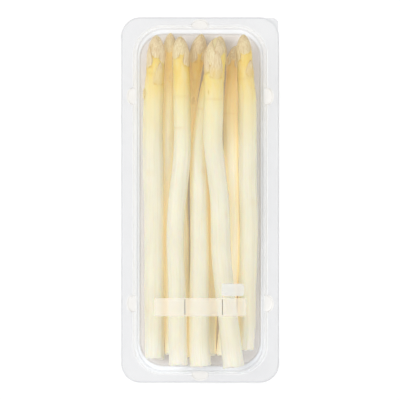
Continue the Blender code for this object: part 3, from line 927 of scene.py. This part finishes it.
def tray_levels():
    """The tray's upper surface, from the skirt's edge over the flange and down to the middle of the floor."""
    top, w, length = TRAY_DEPTH, TRAY_HALF_WIDTH, TRAY_HALF_LENGTH
    r, foot = EDGE_ROUND, FLOOR_ROUND
    levels = [Level(w, length, TRAY_CORNER, top - SKIRT_DROP, 0)]
    levels += rounded(
        Level(w, length, TRAY_CORNER, top - r, 0),
        Level(w - r, length - r, TRAY_CORNER - r, top, 0),
        Level(w, length, TRAY_CORNER, top, 0),
    )
    levels += rounded(
        Level(WELL_HALF_WIDTH + r, WELL_HALF_LENGTH + r, WELL_CORNER + r, top, LUG_OUT),
        wall_level(top - r, LUG_OUT),
        Level(WELL_HALF_WIDTH, WELL_HALF_LENGTH, WELL_CORNER, top, LUG_OUT),
    )
    levels += rounded(
        wall_level(top - LUG_DEPTH, LUG_OUT),
        wall_level(top - LUG_DEPTH - r, -LUG_IN),
        wall_level(top - LUG_DEPTH - r, LUG_OUT * 0.6),
        2,
    )
    levels.append(wall_level(top - LUG_FADE, -LUG_IN / 2))
    levels.append(wall_level(LEDGE_HEIGHT + 3 * r, 0))
    levels += rounded(
        wall_level(LEDGE_HEIGHT + r, 0),
        Level(LEDGE_HALF_WIDTH - r, LEDGE_HALF_LENGTH - r, LEDGE_CORNER - foot / 2, LEDGE_HEIGHT, 0),
        Level(LEDGE_HALF_WIDTH, LEDGE_HALF_LENGTH, LEDGE_CORNER, LEDGE_HEIGHT, 0),
        3,
    )
    levels += rounded(
        Level(FLOOR_HALF_WIDTH + foot, FLOOR_HALF_LENGTH + foot, FLOOR_CORNER + foot, LEDGE_HEIGHT, 0),
        floor_rim(0.5, LEDGE_HEIGHT - foot),
        floor_rim(0.6, LEDGE_HEIGHT),
        3,
    )
    levels += rounded(
        Level(FLOOR_HALF_WIDTH, FLOOR_HALF_LENGTH, FLOOR_CORNER, SHELL + foot, 0),
        Level(FLOOR_HALF_WIDTH - foot, FLOOR_HALF_LENGTH - foot, FLOOR_CORNER - foot, SHELL, 0),
        Level(FLOOR_HALF_WIDTH, FLOOR_HALF_LENGTH, FLOOR_CORNER, SHELL, 0),
        3,
    )
    return levels


def new_object(name, bm, material, angle=40):
    """The mesh as a smooth object whose edges sharper than this angle stay sharp."""
    bmesh.ops.recalc_face_normals(bm, faces=bm.faces)
    mesh = bpy.data.meshes.new(name)
    bm.to_mesh(mesh)
    bm.free()
    mesh.materials.append(material)
    mesh.shade_smooth()
    mesh.set_sharp_from_angle(angle=math.radians(angle))
    obj = bpy.data.objects.new(name, mesh)
    bpy.context.scene.collection.objects.link(obj)
    return obj


def bridge(bm, first, second, slot=0):
    """A band of faces from one closed ring of points to the next."""
    for i in range(len(first)):
        j = (i + 1) % len(first)
        bm.faces.new((first[i], first[j], second[j], second[i])).material_index = slot


def in_lug(place):
    """Whether a place on the tray is in one of its stacking lugs."""
    across, along = abs(place.x), abs(place.y)
    beside = across > WELL_HALF_WIDTH - LUG_IN and abs(along - SIDE_LUG_Y) < LUG_HALF_LENGTH
    beyond = along > WELL_HALF_LENGTH - LUG_IN and across < LUG_HALF_LENGTH
    outside = LUG_OUT + LUG_MARGIN
    past = across > WELL_HALF_WIDTH + outside or along > WELL_HALF_LENGTH + outside
    off_flange = TRAY_DEPTH - LUG_FADE < place.z < TRAY_DEPTH - UNDER_FLANGE
    return off_flange and (beside or beyond) and not past


def make_tray(material, lug_material, edge_material):
    """The thermoformed shell: a drawn surface given its thickness by Solidify."""
    bm = bmesh.new()
    rings = [[bm.verts.new(p) for p in outline(level)] for level in tray_levels()]
    for index, (first, second) in enumerate(zip(rings, rings[1:])):
        bridge(bm, first, second, EDGE_SLOT if index < EDGE_BANDS else 0)
    bm.faces.new(rings[-1])
    for face in bm.faces:
        if len(face.verts) == 4 and in_lug(face.calc_center_median()):
            face.material_index = LUG_SLOT
    tray = new_object("tray_shell", bm, material, 50)
    for further in (lug_material, edge_material):
        tray.data.materials.append(further)
    solidify = tray.modifiers.new("thickness", "SOLIDIFY")
    solidify.thickness = SHELL
    solidify.offset = -1.0
    solidify.use_even_offset = True
    flat_faces = tray.modifiers.new("flat_faces", "WEIGHTED_NORMAL")
    flat_faces.keep_sharp = True
    return tray


def make_film(clear, sealed, loose):
    """The film, with further materials where it is sealed on the flange, and at its edge and peel corner."""
    bm = bmesh.new()
    sides = []
    for z in (FILM_LOW, FILM_LOW + SHEET_THICKNESS):
        inner = Level(WELL_HALF_WIDTH + SEAL_MARGIN, WELL_HALF_LENGTH + SEAL_MARGIN, WELL_CORNER, z, LUG_OUT)
        within = Level(TRAY_HALF_WIDTH - SEAL_MARGIN, TRAY_HALF_LENGTH - SEAL_MARGIN,
                       FILM_CORNER - (SEAL_MARGIN - FILM_INSET), z, 0)
        outer = Level(TRAY_HALF_WIDTH - FILM_INSET, TRAY_HALF_LENGTH - FILM_INSET, FILM_CORNER, z, 0)
        middle, seal = ([bm.verts.new(p) for p in outline(level)] for level in (inner, within))
        edge = [bm.verts.new(p) for p in outline(outer, square=PEEL_CORNER)]
        bridge(bm, middle, seal, SEALED_SLOT)
        bridge(bm, seal, edge, LOOSE_SLOT)
        bm.faces.new(middle)
        sides.append(edge)
    bridge(bm, *sides, LOOSE_SLOT)
    film = new_object("film_sheet", bm, clear)
    for material in (sealed, loose):
        film.data.materials.append(material)
    return film


def make_print(name, material, half_width, half_height, corner, low, high, centre):
    """A small flat rounded rectangle, for what is printed on the film."""
    bm = bmesh.new()
    rings = []
    for z in (low, high):
        ring = []
        for sx, sy, first in ((1, 1, 0), (-1, 1, 90), (-1, -1, 180), (1, -1, 270)):
            for turned in range(0, 91, 15):
                angle = math.radians(first + turned)
                x = sx * (half_width - corner) + corner * math.cos(angle)
                y = sy * (half_height - corner) + corner * math.sin(angle)
                ring.append(bm.verts.new((centre[0] + x, centre[1] + y, z)))
        rings.append(ring)
    bridge(bm, *rings)
    for ring in rings:
        bm.faces.new(ring)
    return new_object(name, bm, material)


FIRST_SEED = 40
PATTERN_SHIFT = 5.3

# Each spear is one piece: its stem, and its scales from the innermost layer to the outermost.
for index, spear in enumerate(SPEARS):
    rng = np.random.default_rng(FIRST_SEED + index)
    axis = Axis(spear)
    skin = Skin()
    add_stem(skin, spear, axis, rng)
    for layer, scale in enumerate(bud_scales(spear)):
        add_scale(skin, spear, axis, rng, *scale, layer * BUD_LAYER_STEP)
    for scale in hidden_scales(spear):
        add_scale(skin, spear, axis, rng, *scale, BACK_LAYER)
    for layer, scale in enumerate(sorted(spear.scales)):
        add_scale(skin, spear, axis, rng, *scale, FRONT_LAYER + min(layer, 3) * FRONT_LAYER_STEP)
    materials = [spear_material(spear, index * PATTERN_SHIFT, thin) for thin in (False, True)]
    piece = skin.build("asparagus_" + spear.name, materials)
    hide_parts(spear.name)
    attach(piece, "root")

tray = make_tray(
    plastic_material("tray_plastic", (243, 246, 251), 0.38, 0.12, 0.02, (225, 225, 226), 0.12),
    plastic_material("lug_plastic", (240, 237, 232), 0.4, 0.25, 0.02),
    plastic_material("edge_plastic", (210, 211, 213), 0.42, 0.12, 0.0))
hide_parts("tray")
tray.visible_shadow = False
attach(tray, "root")

film = make_film(
    plastic_material("film_plastic", (246, 247, 250), 0.015, 0.06, 0.05),
    plastic_material("sealed_film_plastic", (226, 227, 229), 0.05, 0.10, 0.05),
    plastic_material("loose_film_plastic", (218, 219, 221), 0.42, 0.10, 0.05))
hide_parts("film")
film.visible_shadow = False
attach(film, "root")

strip_ink = plastic_material("strip_ink", (255, 249, 238), 0.28, 0.35, 0.0)
strip = make_print("blank_strip", strip_ink, STRIP_HALF_WIDTH, STRIP_HALF_HEIGHT, STRIP_CORNER,
                   PRINT_LOW, PRINT_HIGH, STRIP_CENTRE)
strip.visible_shadow = False
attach(strip, "root")
panel_ink = plastic_material("panel_ink", (236, 236, 233), 0.5, 0.4, 0.0)
panel = make_print("blank_panel", panel_ink, PANEL_HALF_WIDTH, PANEL_HALF_HEIGHT, PANEL_CORNER,
                   PRINT_LOW, PRINT_HIGH, PANEL_CENTRE)
panel.visible_shadow = False
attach(panel, "root")
line_ink = plastic_material("line_ink", (104, 100, 92), 0.8, 0.4, 0.0)
for side, x in LINE_X.items():
    line = make_print("strip_line_" + side, line_ink, LINE_HALF_WIDTH, LINE_HALF_HEIGHT, LINE_CORNER,
                      LINE_LOW, LINE_HIGH, (x, STRIP_CENTRE[1]))
    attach(line, "root")

# A pale paper floor, a white room, two soft lights, and a camera high above, looking straight down.
PAPER_HALF_WIDTH = 4.0
# The paper is a little below the tray's underside, so that the two don't show through each other.
PAPER_Z = -0.4 * MM
ROOM_STRENGTH = 0.76
LIT_POINT = Vector((0, 0, 0.02))
SENSOR_WIDTH = 36.0
CAMERA_HEIGHT = 8.0
CAMERA_X = -0.1 * MM
# The picture takes in this width at the height of the flange.
PICTURE_WIDTH = 264.4 * MM

floor_mesh = bpy.data.meshes.new("floor")
paper_corners = [(x * PAPER_HALF_WIDTH, y * PAPER_HALF_WIDTH, PAPER_Z)
                 for x, y in ((-1, -1), (1, -1), (1, 1), (-1, 1))]
floor_mesh.from_pydata(paper_corners, [], [(0, 1, 2, 3)])
floor = bpy.data.objects.new("floor", floor_mesh)
bpy.context.scene.collection.objects.link(floor)
paper = Nodes("floor_paper")
paper_cloud = paper.noise(paper.add("ShaderNodeTexCoord").outputs["Object"], 3.0)
paper_colour = paper.mix(paper.ramp(paper_cloud, 0.3, 0.7), linear(250, 250, 250), linear(248, 248, 249))
paper.put(paper.shader.inputs["Base Color"], paper_colour)
paper.shader.inputs["Roughness"].default_value = 0.9
floor_mesh.materials.append(paper.material)

world = bpy.data.worlds.new("studio")
bpy.context.scene.world = world
world.use_nodes = True
world.node_tree.nodes["Background"].inputs["Color"].default_value = (1.0, 1.0, 1.0, 1.0)
world.node_tree.nodes["Background"].inputs["Strength"].default_value = ROOM_STRENGTH


def area_light(name, place, size, power):
    """A soft rectangular light that faces the bundle."""
    data = bpy.data.lights.new(name, "AREA")
    data.shape = "RECTANGLE"
    data.size, data.size_y = size
    data.energy = power
    light = bpy.data.objects.new(name, data)
    light.location = place
    light.rotation_euler = (Vector(place) - LIT_POINT).to_track_quat("Z", "Y").to_euler()
    bpy.context.scene.collection.objects.link(light)


area_light("key", (-1.7, 0.5, 2.4), (1.4, 2.0), 29.0)
area_light("fill", (1.6, -0.6, 2.2), (1.4, 2.0), 12.0)

camera = bpy.data.objects.new("camera", bpy.data.cameras.new("camera"))
bpy.context.scene.collection.objects.link(camera)
camera.data.sensor_width = SENSOR_WIDTH
camera.data.lens = SENSOR_WIDTH * (CAMERA_HEIGHT - TRAY_DEPTH) / PICTURE_WIDTH
camera.data.clip_end = 50.0
camera.location = (CAMERA_X, 0.0, CAMERA_HEIGHT)
bpy.context.scene.camera = camera
bpy.context.scene.view_settings.view_transform = "Standard"
